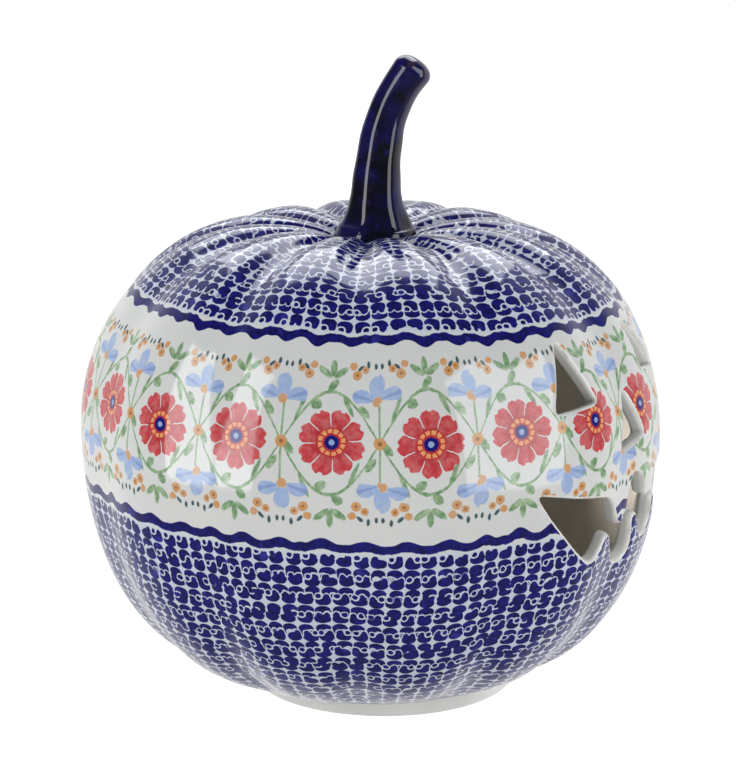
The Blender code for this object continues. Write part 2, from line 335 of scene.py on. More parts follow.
def build_shell(mats):
    md = MeshData()
    w_out, w_in = 1.9, 1.6                  # softened edges of the cut
    rows_out = np.linspace(0.0, S_END, 152)
    rows_in = np.linspace(0.0, S_END, 66)
    outer = [offset_loop(p, w_out) for p in HOLES]
    inner = [offset_loop(p, w_in) for p in HOLES]
    bot_o, top_o, loops_o = sheet(md, rows_out, 0.0, outer, 0, False, 0.95)
    bot_i, top_i, loops_i = sheet(md, rows_in, WALL, inner, 2, True, 1.3)
    # cut walls with rounded edges
    for p, po, pi, a, b in zip(HOLES, outer, inner, loops_o, loops_i):
        k = np.interp(p[:, 1], S_TABLE, profile(T_TABLE)[0]) * math.pi / 180.0 / K_DEG

        def ring(q, depth, edge=0.0):
            return md.add(surface(q[:, 0] / K_DEG, q[:, 1], depth), q[:, 1], edge)
        chain = [a]
        for step in (1, 2, 3, 4):
            ang = math.radians(90.0 * step / 4)
            f = 1.0 - math.sin(ang)
            chain.append(ring(p + (po - p) * f, w_out * (1.0 - math.cos(ang)),
                              (0.0, 0.15, 1.0, 0.2, 0.0)[step]))
        for depth in (2.6, 3.3, 4.0):
            chain.append(ring(p, depth))
        for step in (0, 1, 2):
            ang = math.radians(90.0 * step / 3)
            f = 1.0 - math.cos(ang)
            chain.append(ring(p + (pi - p) * f, WALL - w_in * (1.0 - math.sin(ang))))
        chain.append(b)
        for n, (low, high) in enumerate(zip(chain, chain[1:])):
            md.quads(low, high, 0 if n == 0 else 1, flip=False)
    # crown hole under the stem, and the opening under the body
    md.quads(top_o, top_i, 2)
    ph = np.radians(np.arange(COLS) - 180.0)
    chain = [bot_i]
    for r, z in ((50.5, 13.9), (48.9, 13.4), (48.0, 12.2), (48.0, 9.2), (48.6, 8.2), (49.4, 8.0)):
        chain.append(md.add(np.stack([r * np.sin(ph), -r * np.cos(ph),
                                      np.full(COLS, z)], -1) * MM, 0.0))
    chain.append(bot_o)
    for low, high in zip(chain, chain[1:]):
        md.quads(low, high, 2)
    co, s, edge = np.vstack(md.co), np.concatenate(md.s), np.concatenate(md.edge)
    used = np.zeros(len(co), bool)
    for f in md.faces:
        used[list(f)] = True
    new = np.cumsum(used) - 1
    faces = [tuple(new[list(f)]) for f in md.faces]
    return make_mesh("pumpkin_body", co[used], faces, mats, md.mat, 
                     {"pat_v": s[used], "edge": edge[used]}, tidy=True)


# ------------------------------------------------------------------- shaders
class Graph:
    """Builds shader nodes from arithmetic written in Python."""

    def __init__(self, mat):
        mat.use_nodes = True
        self.tree = mat.node_tree
        self.tree.nodes.clear()
        self.out = self.node("ShaderNodeOutputMaterial")
        self.bsdf = self.node("ShaderNodeBsdfPrincipled")
        self.link(self.bsdf.outputs["BSDF"], self.out.inputs["Surface"])

    def node(self, kind, **props):
        n = self.tree.nodes.new(kind)
        for k, v in props.items():
            setattr(n, k, v)
        return n

    def link(self, a, b):
        self.tree.links.new(a, b)

    def put(self, value, socket):
        if isinstance(value, Ex):
            self.link(value.socket, socket)
        else:
            socket.default_value = value

    def math(self, op, a, b=None, c=None, clamp=False):
        n = self.node("ShaderNodeMath", operation=op, use_clamp=clamp)
        for i, v in enumerate((a, b, c)):
            if v is not None:
                self.put(v, n.inputs[i])
        return Ex(self, n.outputs[0])

    def coords(self):
        n = self.node("ShaderNodeTexCoord")
        return n.outputs["Object"]

    def attribute(self, name):
        n = self.node("ShaderNodeAttribute", attribute_name=name, attribute_type="GEOMETRY")
        return Ex(self, n.outputs["Fac"])

    def split(self, socket):
        n = self.node("ShaderNodeSeparateXYZ")
        self.link(socket, n.inputs[0])
        return [Ex(self, o) for o in n.outputs]

    def join(self, x, y, z=0.0):
        n = self.node("ShaderNodeCombineXYZ")
        for v, i in zip((x, y, z), n.inputs):
            self.put(v, i)
        return n.outputs[0]

    def hash3(self, x, y, z=0.0):
        n = self.node("ShaderNodeTexWhiteNoise", noise_dimensions="3D")
        self.link(self.join(x, y, z), n.inputs["Vector"])
        return self.split(n.outputs["Color"])

    def noise(self, vector, scale, detail=2.0, rough=0.5, out="Fac"):
        n = self.node("ShaderNodeTexNoise", noise_dimensions="3D")
        self.link(vector, n.inputs["Vector"])
        n.inputs["Scale"].default_value = scale
        n.inputs["Detail"].default_value = detail
        n.inputs["Roughness"].default_value = rough
        return Ex(self, n.outputs[out])

    def smooth(self, x, a, b):
        """0 at a to 1 at b, eased."""
        n = self.node("ShaderNodeMapRange", interpolation_type="SMOOTHSTEP")
        self.put(x, n.inputs["Value"])
        self.put(a, n.inputs["From Min"])
        self.put(b, n.inputs["From Max"])
        return Ex(self, n.outputs["Result"])

    def under(self, x, edge, soft):
        """1 where x is below edge."""
        return 1.0 - self.smooth(x, edge - soft, edge + soft)

    def curve(self, x, points):
        n = self.node("ShaderNodeFloatCurve")
        c = n.mapping.curves[0]
        while len(c.points) < len(points):
            c.points.new(0.5, 0.5)
        for p, (px, py) in zip(c.points, points):
            p.location = (px, py)
            p.handle_type = "VECTOR"
        n.mapping.update()
        self.put(x, n.inputs["Value"])
        return Ex(self, n.outputs[0])

    def mix(self, fac, a, b):
        n = self.node("ShaderNodeMix", data_type="RGBA")
        self.put(fac, n.inputs[0])
        for v, i in ((a, 6), (b, 7)):
            if isinstance(v, tuple):
                n.inputs[i].default_value = (*v, 1.0)
            else:
                self.link(v, n.inputs[i])
        return n.outputs[2]

    def bump(self, height, distance, strength=1.0, normal=None):
        n = self.node("ShaderNodeBump")
        n.inputs["Strength"].default_value = strength
        n.inputs["Distance"].default_value = distance
        self.put(height, n.inputs["Height"])
        if normal is not None:
            self.link(normal, n.inputs["Normal"])
        return n.outputs["Normal"]

    def set(self, **values):
        for k, v in values.items():
            name = k.replace("_", " ")
            sock = self.bsdf.inputs[name]
            if isinstance(v, Ex):
                self.link(v.socket, sock)
            elif isinstance(v, bpy.types.NodeSocket):
                self.link(v, sock)
            elif isinstance(v, tuple):
                sock.default_value = (*v, 1.0)
            else:
                sock.default_value = v


class Ex:
    def __init__(self, graph, socket):
        self.g, self.socket = graph, socket

    def __add__(self, o): return self.g.math("ADD", self, o)
    def __radd__(self, o): return self.g.math("ADD", o, self)
    def __sub__(self, o): return self.g.math("SUBTRACT", self, o)
    def __rsub__(self, o): return self.g.math("SUBTRACT", o, self)
    def __mul__(self, o): return self.g.math("MULTIPLY", self, o)
    def __rmul__(self, o): return self.g.math("MULTIPLY", o, self)
    def __truediv__(self, o): return self.g.math("DIVIDE", self, o)
    def __rtruediv__(self, o): return self.g.math("DIVIDE", o, self)
    def __pow__(self, o): return self.g.math("POWER", self, o)
    def __neg__(self): return self.g.math("MULTIPLY", self, -1.0)
    def __abs__(self): return self.g.math("ABSOLUTE", self)


def fn(op):
    def call(a, b=None):
        g = a.g if isinstance(a, Ex) else b.g
        return g.math(op, a, b)
    return call


floor_, fract_, sin_, cos_, sqrt_, round_ = (fn(o) for o in (
    "FLOOR", "FRACT", "SINE", "COSINE", "SQRT", "ROUND"))
atan2_, min_, max_, mod_, above_, sign_ = (fn(o) for o in (
    "ARCTAN2", "MINIMUM", "MAXIMUM", "FLOORED_MODULO", "GREATER_THAN", "SIGN"))


def hypot_(a, b):
    return sqrt_(a * a + b * b)


def srgb(r, g, b):
    def lin(v):
        v /= 255.0
        return v / 12.92 if v <= 0.04045 else ((v + 0.055) / 1.055) ** 2.4
    return (lin(r), lin(g), lin(b))


WHITE = srgb(218, 218, 215)
NAVY = srgb(26, 25, 116)
NAVY_DEEP = srgb(19, 18, 76)
NAVY_THIN = srgb(62, 64, 172)
RED = srgb(204, 70, 76)
RED_DEEP = srgb(172, 46, 56)
OCHRE = srgb(208, 152, 96)
GREEN = srgb(150, 180, 134)
GREEN_DEEP = srgb(110, 148, 106)
SKY = srgb(158, 180, 220)
TEAL = srgb(38, 78, 88)
EDGE_CLAY = srgb(142, 108, 78)            # the body showing through where glaze runs thin


def glaze_surface(g, co, rough=0.085):
    """Slightly wavy, orange-peel gloss of a fired glaze."""
    wave = g.noise(co, 55.0, 2.0, 0.45)
    peel = g.noise(co, 420.0, 2.0, 0.5)
    pin = g.noise(co, 1500.0, 1.0, 0.5)
    n = g.bump(wave, 0.00014, 0.5)
    n = g.bump(peel, 0.00003, 0.5, n)
    g.set(Normal=n, Roughness=rough + 0.05 * g.smooth(wave, 0.35, 0.75) + 0.04 * pin)
    g.set(IOR=1.52)


def painted_glaze():
    mat = bpy.data.materials.new("glaze_patterned")
    g = Graph(mat)
    co = g.coords()
    x, y, _ = g.split(co)
    phi = atan2_(x, -y)
    s = g.attribute("pat_v")
    s_low, s_high = float(s_of_z(BAND_LOW_Z)), float(s_of_z(BAND_HIGH_Z))
    s_mid = 0.5 * (s_low + s_high)
    two_pi = 2.0 * math.pi

    # a brush wobble shared by all edges, in mm
    wob = (g.noise(co, 210.0, 2.0, 0.6) - 0.5)
    wob2 = (g.noise(co, 620.0, 1.0, 0.5) - 0.5)
    drift = (g.noise(co, 14.0, 1.0, 0.5) - 0.5)

    # ---- stamped zones: q is mm into the blue zone, from the band's edge
    upper = above_(s, s_mid)
    lean = 3.0 * cos_(phi + 2.635)            # the upper border was drawn a little askew
    q = max_(s_low - s, s - s_high - lean) + drift * 3.0

    # scalloped border line
    waves = 49.0
    wu = phi * (waves / two_pi) + upper * 0.37 + drift * 0.9
    hump = abs(sin_(fract_(wu) * math.pi)) ** 2.2
    hump = hump * (0.7 + 0.5 * g.hash3(floor_(wu), upper, 2.2)[0])
    # a smaller bump in some of the valleys, where the brush was set down again
    dab = max_(cos_(fract_(wu) * two_pi), 0.0) ** 3.0
    hump = hump + dab * 0.34 * g.hash3(floor_(wu + 0.5), upper, 4.1)[0]
    edge_in = 0.9 - hump * 2.8
    edge_out = 4.3 - hump * 1.7 + wob2 * 0.8
    qq = q + wob * 0.8
    border = g.smooth(qq, edge_in - 0.18, edge_in + 0.18) * g.under(qq, edge_out, 0.2)

    # sponge marks: rounds that meet at regular lines, aligned across each line, so that
    # four-pointed stars stay white; between the lines caps and bowls hook into each other
    pitch, wide_mm, first = 8.6, 6.3, 1.5
    v = (q - first) / pitch + wob * 0.06 + drift * 0.30
    row = floor_(v)
    ss = np.linspace(0.0, S_END, 16)
    rr = profile(np.interp(ss, S_TABLE, T_TABLE))[0]
    r_keys = [(float(a / S_END), float(c / 130.0)) for a, c in zip(ss, rr)]

    def half_mark(line, y, side):
        """Marks on one side of a meeting line; y is mm away from that line."""
        block = floor_(line / 3.0) * 3.0 + 1.0       # the sponge covers three lines at a time
        s_line = upper * (s_high + first + block * pitch) \
            + (1.0 - upper) * (s_low - first - block * pitch)
        r_line = g.curve(s_line / S_END, r_keys)
        count = max_(round_(r_line * (130.0 * two_pi / wide_mm)), 6.0)
        u = phi * count / two_pi + 0.30 * g.hash3(line, upper, 7.3)[0] + drift * 0.9
        col = mod_(floor_(u), count)
        h1, h2, h3 = g.hash3(col, line + 0.25 * side, upper)
        e1, e2, e3 = g.hash3(col, line + 0.25 * side, upper + 5.0)
        xm = (fract_(u) - 0.5 + (h1 - 0.5) * 0.10 + wob * 0.20) * wide_mm
        ym = y + (h2 - 0.5) * 0.5 + wob2 * 0.7
        d = (abs(xm / (2.80 + 0.42 * h3)) ** 2.0 + abs((ym - 2.22) / 2.18) ** 2.0) ** 0.5
        rough = wob2 * 0.28 + wob * 0.18
        body = g.under(d + rough, 0.99, 0.05)
        turn = sign_(e1 - 0.28) * side
        leg_d = hypot_((xm + turn * 1.3) / 1.4, (ym - 3.5) / 1.9) + rough
        leg = g.under(leg_d, 1.0, 0.06)
        bx, by = xm - turn * (1.35 + 0.45 * e2), ym - 4.0 - 0.5 * h2
        rb = hypot_(bx, by) + wob2 * 0.25
        bead = g.under(rb, 1.05, 0.1)
        arc = g.under(abs(rb - 1.34), 0.30, 0.09) \
            * g.smooth(bx * (-0.55 * turn) - by * 0.83 + (0.1 + 0.5 * h1) * rb, -0.1, 0.1) \
            * g.under(e3, 0.62, 0.01)
        # a thin white line is left where the mark meets the one it hooks into
        line_d = g.under(h1, 0.72, 0.01)
        moat = max_(max_(g.under(d + rough, 1.16, 0.04), g.under(leg_d, 1.26, 0.06)),
                    g.under(rb, 1.46, 0.1)) * line_d
        return max_(max_(body, leg), bead * g.under(e3, 0.80, 0.01)) * (1.0 - arc), moat

    away = (v - row) * pitch
    cap, _ = half_mark(row, away, 1.0)
    bowl, moat = half_mark(row + 1.0, pitch - away, -1.0)
    first_row = g.under(row, 0.5, 0.1)
    stamp = max_(cap * (1.0 - first_row) * (1.0 - moat), bowl)
    stamp = stamp * g.smooth(qq - edge_out, 0.95, 1.25)
    navy_mask = max_(border, stamp)

    # ---- garland band: one row of rosettes, two vines plaited round them
    yb = s - s_mid + drift * 2.0
    cells = 20.0
    span = two_pi * 116.0 / cells
    uu = phi * (cells / two_pi) + 0.31
    cell = mod_(floor_(uu), cells)
    j1, j2, j3 = g.hash3(cell, 3.1, 5.7)
    xb = (fract_(uu) - 0.5) * span + wob * 0.8
    yf = yb + wob2 * 0.8
    ya = abs(yf)
    up = sign_(yf)

    arch = 19.5 * cos_(xb * (math.pi / span))
    vine = g.under(abs(ya - arch), 0.66 + wob * 0.5, 0.2)
    # leaves along both vines
    lu = uu * 6.0 + 0.25 + 0.2 * up
    lcell = floor_(lu)
    lx = (fract_(lu) - 0.5) * (span / 6.0)
    lsign = mod_(lcell, 2.0) * 2.0 - 1.0
    lift = (ya - arch) * lsign
    lp, lq = lx * 0.80 - (lift - 2.6) * 0.60, lx * 0.60 + (lift - 2.6) * 0.80
    leaf_d = hypot_(lp / 1.6, lq / 3.0) + abs(lp) * 0.10
    leaf = g.under(leaf_d, 1.0, 0.12)
    leaf_rib = g.under(abs(lp), 0.18, 0.12) * leaf

    # rosette: eight notched petals round a beaded eye
    fx, fy = xb + (j1 - 0.5) * 1.4, yf + (j2 - 0.5) * 1.8
    fr = hypot_(fx, fy)
    fa = atan2_(fy, fx) + j3 * 0.8
    c4 = abs(cos_(fa * 4.0))
    petal_edge = 9.7 + 3.1 * c4 ** 0.55 - 0.9 * g.smooth(c4, 0.93, 1.0) + wob * 1.4
    petal = g.under(fr, petal_edge, 0.25)
    gap_line = g.under(c4, 0.10, 0.05) * g.smooth(fr, 5.6, 7.0)
    petal = petal * (1.0 - gap_line)
    petal_shade = g.smooth(fr, 11.0, 4.5) * 0.55 + g.smooth(c4, 0.5, 0.05) * 0.25
    eye_ring = g.under(abs(fr - 4.3), 0.80, 0.15) * g.smooth(abs(cos_(fa * 6.0)), 0.30, 0.50)
    eye_gap = g.under(fr, 5.6, 0.2)
    eye_mid = g.under(fr, 2.7, 0.18)
    eye_dot = g.under(fr, 1.1, 0.15)

    # between the rosettes, where the vines cross: a knot, and pale blue fans facing out
    xk = (fract_(uu + 0.5) - 0.5) * span + wob * 0.8
    knot = g.under(hypot_(xk, yf) + wob * 0.8, 2.3, 0.2)
    knot_eye = g.under(hypot_(xk, yf), 0.8, 0.2)
    bx, by = xk + up * 0.8, ya - 15.0 - 1.5 * j2
    br = hypot_(bx, by)
    ba = atan2_(bx, by)
    fan_edge = 3.4 + 6.4 * abs(cos_(ba * 2.5)) ** 0.7 + wob * 1.2
    fan = g.under(br, fan_edge, 0.3) * g.under(abs(ba), 1.62, 0.05) * g.smooth(br, 1.6, 2.2)
    fan_heart = g.under(br, 1.8, 0.2)
    fan_vein = g.under(abs(abs(ba) - 0.63 * 2.0), 0.10, 0.06) * fan
    stalk = g.under(abs(xk), 0.42 + wob * 0.3, 0.16) * g.under(abs(ya - 8.0), 6.2, 0.3)

    # ochre berries in threes on the vines' shoulders
    mx = abs(xb) - 9.6
    my = ya - 25.0 - up
    berry = max_(g.under(hypot_(mx, my), 1.9, 0.2),
                 max_(g.under(hypot_(mx - 3.2, my - 1.9), 1.5, 0.2),
                      g.under(hypot_(mx + 1.6, my - 3.6), 1.5, 0.2)))
    berry_eye = max_(g.under(hypot_(mx, my), 0.6, 0.2),
                     g.under(hypot_(mx - 3.2, my - 1.9), 0.5, 0.2))

    # sprig on top of each arch, and dark seeds beside the fans
    gx, gy = abs(xb), ya - 24.2
    sp, sq = gx * 0.60 - gy * 0.80, gx * 0.80 + gy * 0.60
    sprig = g.under(hypot_((sp + 0.4) / 1.3, (sq - 4.2) / 3.4), 1.0, 0.12)
    sprig = max_(sprig, g.under(hypot_(gx / 1.25, (gy - 4.6) / 3.4), 1.0, 0.14))
    sx, sy = abs(xk), ya - 27.5
    seeds = g.under(hypot_((sx - 7.4) * 0.7 + (sy - 1.2) * 0.7,
                           ((sy - 1.2) * 0.7 - (sx - 7.4) * 0.7) / 2.2), 0.68, 0.2)
    seeds = max_(seeds, g.under(hypot_(sx - 4.2, (sy - 2.6) / 2.0), 0.68, 0.2))
    seeds = max_(seeds, g.under(hypot_(sx - 1.2, (sy - 1.6) / 1.8), 0.62, 0.2))

    in_band = g.under(q, -1.2, 0.3)
    wash = g.noise(co, 330.0, 3.0, 0.65)      # uneven water-colour strength

    def strength(lo=0.72, hi=1.0):
        return lo + (hi - lo) * g.smooth(wash, 0.3, 0.62)

    # ---- paint, from the ground up
    speck = g.smooth(g.noise(co, 900.0, 2.0, 0.5), 0.70, 0.78)
    ground = g.mix(0.35 * g.smooth(g.noise(co, 22.0, 3.0, 0.5), 0.35, 0.7), WHITE, srgb(208, 210, 212))
    ground = g.mix(speck * 0.10, ground, srgb(150, 130, 110))
    ground = g.mix(0.5 * g.smooth(q, 2.5, 6.0), ground, srgb(185, 197, 226))
    green = g.mix(g.smooth(wash, 0.35, 0.65), GREEN, GREEN_DEEP)
    col_ = ground
    col_ = g.mix(vine * in_band * strength(0.8), col_, green)
    col_ = g.mix(leaf * in_band * strength(0.75), col_, green)
    col_ = g.mix(leaf_rib * in_band * 0.6, col_, GREEN_DEEP)
    col_ = g.mix(sprig * in_band * strength(0.75), col_, green)
    col_ = g.mix(stalk * in_band * 0.85, col_, green)
    col_ = g.mix(seeds * in_band * 0.95, col_, TEAL)
    col_ = g.mix(fan * in_band * strength(0.7), col_, SKY)
    col_ = g.mix(fan_vein * in_band * 0.5, col_, srgb(104, 130, 190))
    col_ = g.mix(fan_heart * in_band * 0.9, col_, OCHRE)
    col_ = g.mix(knot * in_band * strength(0.8), col_, OCHRE)
    col_ = g.mix(knot_eye * in_band * 0.8, col_, srgb(150, 84, 36))
    col_ = g.mix(berry * in_band * strength(0.75), col_, OCHRE)
    col_ = g.mix(berry_eye * in_band * 0.75, col_, srgb(150, 84, 36))
    reds = g.mix(petal_shade + 0.35 * g.smooth(wash, 0.5, 0.7), RED, RED_DEEP)
    col_ = g.mix(petal * in_band * strength(0.86), col_, reds)
    col_ = g.mix(eye_gap * in_band * 0.9, col_, srgb(186, 52, 54))
    col_ = g.mix(eye_ring * in_band, col_, srgb(236, 160, 108))
    col_ = g.mix(eye_mid * in_band, col_, NAVY)
    col_ = g.mix(eye_dot * in_band * 0.9, col_, SKY)

    thick = g.noise(co, 480.0, 2.0, 0.6)
    navy = g.mix(g.smooth(thick, 0.36, 0.66), NAVY, NAVY_DEEP)
    rim = 1.0 - g.smooth(navy_mask, 0.55, 0.95)
    navy = g.mix(rim * 0.7, navy, NAVY_THIN)
    navy = g.mix(g.smooth(g.noise(co, 130.0, 2.0, 0.6), 0.58, 0.75) * 0.45, navy, NAVY_THIN)
    col_ = g.mix(navy_mask, col_, navy)
    worn = g.smooth(g.noise(co, 70.0, 2.0, 0.5), 0.45, 0.62)
    col_ = g.mix(g.attribute("edge") * (0.08 + 0.45 * worn), col_, EDGE_CLAY)

    g.set(Base_Color=col_)
    glaze_surface(g, co, 0.045)
    return mat


def white_glaze(name, ground, shade, rough=0.10, edged=False):
    mat = bpy.data.materials.new(name)
    g = Graph(mat)
    co = g.coords()
    n1 = g.noise(co, 38.0, 3.0, 0.55)
    n2 = g.noise(co, 700.0, 2.0, 0.5)
    c = g.mix(g.smooth(n1, 0.3, 0.72) * 0.7, ground, shade)
    c = g.mix(g.smooth(n2, 0.70, 0.80) * 0.25, c, srgb(150, 132, 112))
    if edged:
        worn = g.smooth(g.noise(co, 70.0, 2.0, 0.5), 0.45, 0.62)
        c = g.mix(g.attribute("edge") * (0.08 + 0.45 * worn), c, EDGE_CLAY)
    g.set(Base_Color=c)
    glaze_surface(g, co, rough)
    return mat


def cobalt_glaze():
    """Dark pooled cobalt, thin and brownish where it ran off the ridges."""
    mat = bpy.data.materials.new("glaze_cobalt")
    g = Graph(mat)
    co = g.coords()
    thin = g.attribute("thin")
    n1 = g.noise(co, 60.0, 3.0, 0.55)
    n2 = g.noise(co, 300.0, 2.0, 0.55)
    c = g.mix(g.smooth(n1, 0.38, 0.62), srgb(10, 10, 24), srgb(22, 19, 76))
    c = g.mix(g.smooth(n2, 0.55, 0.75) * 0.35, c, srgb(38, 34, 120))
    edge = g.smooth(thin + (n2 - 0.5) * 0.5, 0.62, 1.0)
    c = g.mix(edge * 0.55, c, srgb(70, 52, 50))
    # the spigot under the crown carries the same glaze as the inside
    _, _, z = g.split(co)
    c = g.mix(g.under(z, 0.1822, 0.0008), c, srgb(219, 213, 204))
    g.set(Base_Color=c)
    glaze_surface(g, co, 0.05)
    return mat


def bare_clay():
    mat = bpy.data.materials.new("biscuit_clay")
    g = Graph(mat)
    co = g.coords()
    n = g.noise(co, 260.0, 4.0, 0.6)
    fine = g.noise(co, 1600.0, 3.0, 0.6)
    c = g.mix(g.smooth(n, 0.3, 0.7), srgb(222, 212, 196), srgb(200, 188, 170))
    c = g.mix(g.smooth(fine, 0.62, 0.72) * 0.5, c, srgb(150, 134, 116))
    g.set(Base_Color=c, Roughness=0.72 + 0.15 * fine, Normal=g.bump(fine, 0.0002, 0.6))
    return mat


def aluminium():
    mat = bpy.data.materials.new("cup_aluminium")
    g = Graph(mat)
    co = g.coords()
    x, y, z = g.split(co)
    ang = atan2_(x, -y)
    lines = g.noise(g.join(ang * 30.0, z * 900.0, hypot_(x, y) * 300.0), 1.0, 3.0, 0.6)
    scuff = g.noise(co, 240.0, 3.0, 0.6)
    c = g.mix(g.smooth(scuff, 0.35, 0.7), srgb(226, 227, 229), srgb(200, 202, 205))
    g.set(Base_Color=c, Metallic=1.0, Roughness=0.24 + 0.22 * lines,
          Normal=g.bump(lines, 0.00012, 0.5))
    return mat


def wax():
    mat = bpy.data.materials.new("wax")
    g = Graph(mat)
    co = g.coords()
    n = g.noise(co, 160.0, 4.0, 0.55)
    fine = g.noise(co, 1400.0, 2.0, 0.5)
    c = g.mix(g.smooth(n, 0.3, 0.7), srgb(243, 240, 231), srgb(228, 224, 211))
    g.set(Base_Color=c, Roughness=0.36 + 0.16 * n,
          Normal=g.bump(n * 0.8 + fine * 0.2, 0.0004, 0.5))
    g.set(Subsurface_Weight=0.25, Subsurface_Scale=0.004)
    return mat


def cotton():
    mat = bpy.data.materials.new("cotton")
    g = Graph(mat)
    co = g.coords()
    n = g.noise(co, 2200.0, 3.0, 0.6)
    _, _, z = g.split(co)
    burnt = g.smooth(z + (n - 0.5) * 0.002, 0.0185, 0.0200)
    c = g.mix(g.smooth(n, 0.3, 0.7), srgb(236, 231, 216), srgb(205, 198, 180))
    c = g.mix(burnt * 0.15, c, srgb(160, 150, 130))
    g.set(Base_Color=c, Roughness=0.8 + 0.15 * n, Normal=g.bump(n, 0.0003, 0.7))
    return mat


def tinplate():
    mat = bpy.data.materials.new("tinplate")
    g = Graph(mat)
    co = g.coords()
    n = g.noise(co, 420.0, 3.0, 0.6)
    c = g.mix(g.smooth(n, 0.3, 0.7), srgb(202, 202, 198), srgb(174, 174, 170))
    g.set(Base_Color=c, Metallic=1.0, Roughness=0.28 + 0.2 * n, Normal=g.bump(n, 0.0001, 0.4))
    return mat


# ----------------------------------------------------------------- the stem
def catmull(keys, x):
    """Smooth curve through (x, y) keys."""
    kx = np.array([k[0] for k in keys], float)
    ky = np.array([k[1] for k in keys], float)
    m = np.gradient(ky, kx)
    x = np.clip(np.asarray(x, float), kx[0], kx[-1])
    i = np.clip(np.searchsorted(kx, x) - 1, 0, len(kx) - 2)
    h = kx[i + 1] - kx[i]
    u = (x - kx[i]) / h
    return ((2 * u ** 3 - 3 * u ** 2 + 1) * ky[i] + (u ** 3 - 2 * u ** 2 + u) * h * m[i]
            + (-2 * u ** 3 + 3 * u ** 2) * ky[i + 1] + (u ** 3 - u ** 2) * h * m[i + 1])


STEM_PATH = ((160.0, 0.0), (182.0, 0.3), (190.0, 1.2), (200.0, 1.3), (210.5, 1.7), (221.0, 2.8),
             (232.0, 4.9), (242.0, 8.7), (248.5, 12.4), (253.0, 15.6))
STEM_WIDTH = ((160.0, 10.0), (181.0, 10.0), (184.0, 13.5), (186.2, 16.6), (188.5, 16.2), (192.0, 13.8), (197.0, 11.6),
              (203.0, 10.4), (210.5, 9.6), (221.0, 8.8), (232.0, 8.1), (242.0, 7.7), (253.0, 7.9))
STEM_DIR = math.radians(-61.0)


def build_stem(mat):
    count = 84
    zs = np.concatenate([np.linspace(172.0, 181.0, 4), np.linspace(182.0, 200.0, 34),
                         np.linspace(201.0, 253.0, 66)])
    a = np.linspace(0.0, 2 * math.pi, count, endpoint=False)
    ridge = 0.5 + 0.5 * np.cos(7 * a + 0.6)
    section = 1.0 + 0.050 * (ridge ** 1.4 - 0.45) + 0.014 * np.cos(2 * a + 1.2) \
        + 0.010 * np.cos(3 * a + 0.3)
    ux, uy = math.cos(STEM_DIR), math.sin(STEM_DIR)
    rings, thin = [], []

    def place(centre, up, tilt, rad, weight):
        rr = rad * (1.0 + (section - 1.0) * weight)
        u, v = rr * np.cos(a), rr * np.sin(a)
        along = centre + u * math.cos(tilt)
        zz = up - u * math.sin(tilt)
        return np.stack([along * ux - v * uy, along * uy + v * ux, zz], -1) * MM

    for z in zs:
        c = float(catmull(STEM_PATH, z))
        slope = float(catmull(STEM_PATH, z + 0.4) - catmull(STEM_PATH, z - 0.4)) / 0.8
        if z > 252.0:
            slope = 0.72
        tilt = math.atan(slope) if z > 190.0 else 0.0
        rad = float(catmull(STEM_WIDTH, z))
        weight = float(np.clip((z - 184.0) / 8.0, 0.0, 1.0))
        twist = 0.25 * math.sin((z - 190.0) / 24.0)
        wob = 1.0 + 0.012 * math.sin(z * 0.42 + 1.0) * weight + 0.01 * math.sin(z * 0.17)
        rings.append(place(c, z, tilt, rad * wob, weight * (1.0 + 0.9 * max(0.0, (200.0 - z) / 14.0))))
        thin.append(ridge * 0.75 * weight + (0.2 if z < 189.5 else 0.0))
    # rounded end, thrown to the leaning side
    c, z_end = float(catmull(STEM_PATH, 253.0)), 253.0
    tilt = math.atan(0.72)
    for k in range(1, 11):
        ang = math.radians(8.9 * k)
        rad = 7.9 * max(math.cos(ang), 0.02) ** 0.8
        lift = 6.0 * math.sin(ang)
        rings.append(place(c + lift * math.sin(tilt), z_end + lift * math.cos(tilt) * 0.86, tilt,
                           rad, 1.0))
        thin.append(ridge * 0.6 + 0.55 * math.exp(-((k - 3.5) / 2.0) ** 2))
    co = np.vstack(rings)
    faces = []
    n = len(rings)
    for j in range(n - 1):
        for i in range(count):
            k = (i + 1) % count
            faces.append((j * count + i, j * count + k, (j + 1) * count + k, (j + 1) * count + i))
    faces.append(tuple(reversed(range(count))))
    faces.append(tuple(range((n - 1) * count, n * count)))
    return make_mesh("stem_cobalt", co, faces, [mat], None, {"thin": np.concatenate(thin)}, tidy=True)


# ---------------------------------------------------------- turned pieces
def turned(name, profile_rz, count, mats, ids=None, wave=None, closed=True, at=(0.0, 0.0)):
    """A turned mesh; wave(angle, r, z) returns a change of radius in mm."""
    a = np.linspace(0.0, 2 * math.pi, count, endpoint=False)
    rings = []
    for r, z in profile_rz:
        rr = np.full(count, float(r))
        if wave is not None:
            rr = rr + wave(a, r, z)
        rings.append(np.stack([at[0] + rr * np.cos(a), at[1] + rr * np.sin(a),
                               np.full(count, float(z))], -1) * MM)
    co = np.vstack(rings)
    faces, mat = [], []
    n = len(rings)
    pairs = [(j, j + 1) for j in range(n - 1)] + ([(n - 1, 0)] if closed else [])
    for j, k in pairs:
        for i in range(count):
            m = (i + 1) % count
            faces.append((j * count + i, j * count + m, k * count + m, k * count + i))
            mat.append(0 if ids is None else ids[j])
    if not closed:
        faces.append(tuple(reversed(range(count))))
        mat.append(0 if ids is None else ids[0])
        faces.append(tuple(range((n - 1) * count, n * count)))
        mat.append(0 if ids is None else ids[-1])
    return make_mesh(name, co, faces, mats, mat, None, tidy=True)


def arc(cr, cz, rad, a0, a1, n):
    return [(cr + rad * math.cos(math.radians(a0 + (a1 - a0) * k / n)),
             cz + rad * math.sin(math.radians(a0 + (a1 - a0) * k / n))) for k in range(n + 1)]


